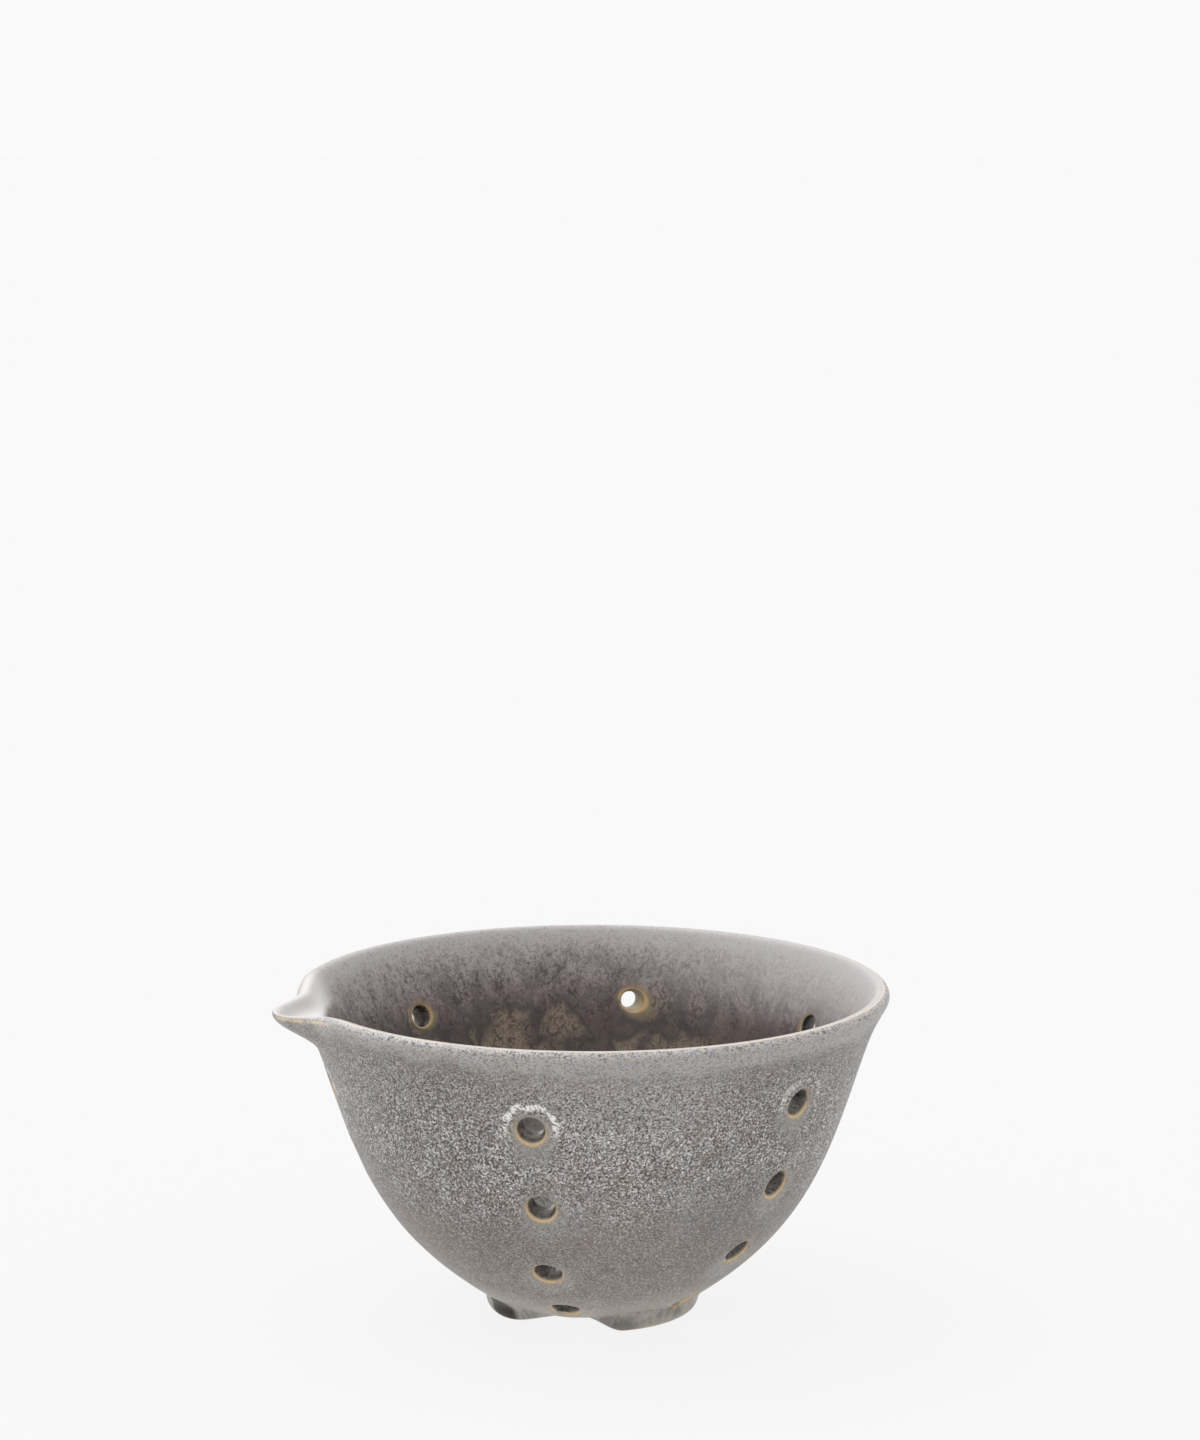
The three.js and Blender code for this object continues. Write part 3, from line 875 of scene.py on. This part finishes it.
# The same glaze on the feet, darker in patches, streaked, with painted shade in the scoop under the spout
# and beside the front arch, and worn back to warm bare clay where they stand
footGlaze = {
    "specular": 0.12,
    "patchSize": 7.0, "patchMost": 0.6, "patch": "#6d6d66",
    "streakSize": 1.4, "streakStretch": 7.0, "streakMost": 0.5, "streak": "#a8a49d",
    "octaves": 2.0, "low": 0.48, "high": 0.62,  # of the noise, from none to most of a patch or streak
    # painted shade, dark patches where shade falls on the feet: place by the bowl's axis, reach, core,
    # colour, most
    "shadePatches": [((-23.5, -11.5, 2.3), 10.0, 6.0, "#1d1813", 0.96),  # painted shade in the scoop under the spout
              ((3.6, -26.3, 0.8), 9.0, 4.0, "#55544e", 0.6)],  # painted shade beside the front arch
    "shadePatchWaver": 5.0,
    "wearTop": 1.2, "wearFull": 0.7, "wearWaver": 1.0, "clay": "#c7ab86",
}
footMaterial = material.copy()
footMaterial.name = "footGlaze"
footTree = footMaterial.node_tree
footShader = footTree.nodes["Principled BSDF"]
footShader.inputs["Specular IOR Level"].default_value = footGlaze["specular"]
footPlace = addNode(footTree, "ShaderNodeTexCoord").outputs["Object"]
footParts = addNode(footTree, "ShaderNodeSeparateXYZ", None, {0: footPlace})
patch = addNode(footTree, "ShaderNodeTexNoise", None, {
    "Vector": footPlace, "Scale": 1 / (footGlaze["patchSize"] * mm),
    "Detail": footGlaze["octaves"]}).outputs["Fac"]
streakPlace = addNode(footTree, "ShaderNodeMapping", {"vector_type": "TEXTURE"}, {
    "Vector": footPlace, "Scale": (1, 1, footGlaze["streakStretch"])})
streaks = addNode(footTree, "ShaderNodeTexNoise", None, {
    "Vector": streakPlace.outputs[0], "Scale": 1 / (footGlaze["streakSize"] * mm),
    "Detail": footGlaze["octaves"]}).outputs["Fac"]
wear = addNode(footTree, "ShaderNodeMath", {"operation": "MULTIPLY_ADD"}, {
    0: patch, 1: footGlaze["wearWaver"] * mm, 2: footParts.outputs["Z"]}).outputs[0]
# value, where the layer starts and is full, its most, its colour
footLayers = [
    (patch, footGlaze["low"], footGlaze["high"], footGlaze["patchMost"], footGlaze["patch"]),
    (streaks, footGlaze["low"], footGlaze["high"], footGlaze["streakMost"], footGlaze["streak"]),
]
# painted shade: each patch darkens the foot towards its centre
for place, reach, core, code, most in footGlaze["shadePatches"]:
    centre = ((axisX + place[0]) * mm, place[1] * mm, place[2] * mm)
    apart = addNode(footTree, "ShaderNodeVectorMath", {"operation": "DISTANCE"}, {0: footPlace, 1: centre})
    wavered = addNode(footTree, "ShaderNodeMath", {"operation": "MULTIPLY_ADD"}, {
        0: patch, 1: footGlaze["shadePatchWaver"] * mm, 2: apart.outputs["Value"]})
    footLayers.append((wavered.outputs[0], reach * mm, core * mm, most, code))
footLayers.append((wear, footGlaze["wearTop"] * mm, footGlaze["wearFull"] * mm, 1.0, footGlaze["clay"]))
colour = footShader.inputs["Base Color"].links[0].from_socket
for value, low, high, most, code in footLayers:
    mask = addNode(footTree, "ShaderNodeMapRange", {"interpolation_type": "SMOOTHSTEP"}, {
        "Value": value, "From Min": low, "From Max": high, "To Max": most})
    colour = addNode(footTree, "ShaderNodeMix", {"data_type": "RGBA"}, {
        0: mask.outputs[0], 6: colour, 7: hexColour(code)}).outputs[2]
footTree.links.new(colour, footShader.inputs["Base Color"])

glazedBowl.data.materials.append(material)
for foot in footPieces:
    foot.data.materials.append(footMaterial)
print("glazed")

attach(glazedBowl, "root")
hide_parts("bowl_body")
for foot, node in zip(footPieces, feet["nodes"]):
    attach(foot, "root")
    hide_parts(node)

# Studio: pale floor, white surround, soft light from the upper left
studio = {
    "floorSize": 60.0, "floor": "#3c3c3c", "floorRoughness": 0.95, "floorGlow": 0.87,
    "seen": "#fafafa",
    "bright": 1.75, "dim": 0.35,  # light of the surround, from the bright side to the dim one
    "brightFrom": (-0.1, 0.3, 0.95), "dimFrom": -0.3,
    "key": 1.2, "keySpread": 40.0, "keyFrom": (-0.5, 0.3, 1.2), "keyAim": (0, 0, 0.04),
}
clearSelection()
bpy.ops.mesh.primitive_plane_add(size=studio["floorSize"])
floor = bpy.context.object
floor.name = floor.data.name = "studioFloor"
# matt paper that glows a little: no gloss, and only a faint shadow
paper = bpy.data.materials.new("matPaper")
paper.use_nodes = True
for name, value in (
        ("Base Color", hexColour(studio["floor"])),
        ("Roughness", studio["floorRoughness"]),
        ("Emission Color", hexColour("#ffffff")),
        ("Emission Strength", studio["floorGlow"]),
        ("Specular IOR Level", 0.0)):
    paper.node_tree.nodes["Principled BSDF"].inputs[name].default_value = value
floor.data.materials.append(paper)

scene = bpy.context.scene
scene.view_settings.view_transform = "Standard"
world = bpy.data.worlds.new("whiteSurround")
scene.world = world
world.use_nodes = True
sky = world.node_tree
lit = sky.nodes["Background"]
lit.inputs["Color"].default_value = hexColour("#ffffff")
skyCoords = addNode(sky, "ShaderNodeTexCoord")
facing = addNode(sky, "ShaderNodeVectorMath", {"operation": "DOT_PRODUCT"}, {
    0: skyCoords.outputs["Generated"], 1: studio["brightFrom"]})
level = addNode(sky, "ShaderNodeMapRange", None, {
    "Value": facing.outputs["Value"], "From Min": studio["dimFrom"], "From Max": 1.0,
    "To Min": studio["dim"], "To Max": studio["bright"]})
sky.links.new(level.outputs[0], lit.inputs["Strength"])
seen = addNode(sky, "ShaderNodeBackground", None, {"Color": hexColour(studio["seen"])})
rays = addNode(sky, "ShaderNodeLightPath")
both = addNode(sky, "ShaderNodeMixShader", None, {
    0: rays.outputs["Is Camera Ray"], 1: lit.outputs[0], 2: seen.outputs[0]})
sky.links.new(both.outputs[0], sky.nodes["World Output"].inputs["Surface"])

bpy.ops.object.light_add(type="SUN", location=studio["keyFrom"])
key = bpy.context.object
key.name = "keyLight"
key.data.energy = studio["key"]
key.data.angle = math.radians(studio["keySpread"])
key.rotation_euler = (Vector(studio["keyAim"]) - key.location).to_track_quat("-Z", "Y").to_euler()

# Camera, as fitted to the photo: a long lens a metre off, pitched so that the bowl lies low in the frame
view = {
    "distance": 1.0, "elevation": 15.0, "azimuth": -7.5, "aimHeight": 0.04,
    "pitch": 8.73, "yaw": 0.117, "focalPixels": 3918.0, "imageHeight": 1440.0, "sensor": 36.0,
    "farthest": 50.0,
}
turn, lift = math.radians(view["azimuth"]), math.radians(view["elevation"])
cameraData = bpy.data.cameras.new("photoCamera")
camera = bpy.data.objects.new("photoCamera", cameraData)
scene.collection.objects.link(camera)
camera.location = (axisX * mm + view["distance"] * math.cos(lift) * math.sin(turn),
                   -view["distance"] * math.cos(lift) * math.cos(turn),
                   view["aimHeight"] + view["distance"] * math.sin(lift))
camera.rotation_euler = (math.radians(90 - view["pitch"]), 0, turn - math.radians(view["yaw"]))
cameraData.sensor_fit = "VERTICAL"
cameraData.sensor_height = view["sensor"]
cameraData.lens = view["focalPixels"] / view["imageHeight"] * view["sensor"]
cameraData.clip_end = view["farthest"]
scene.camera = camera
print("scene ready")
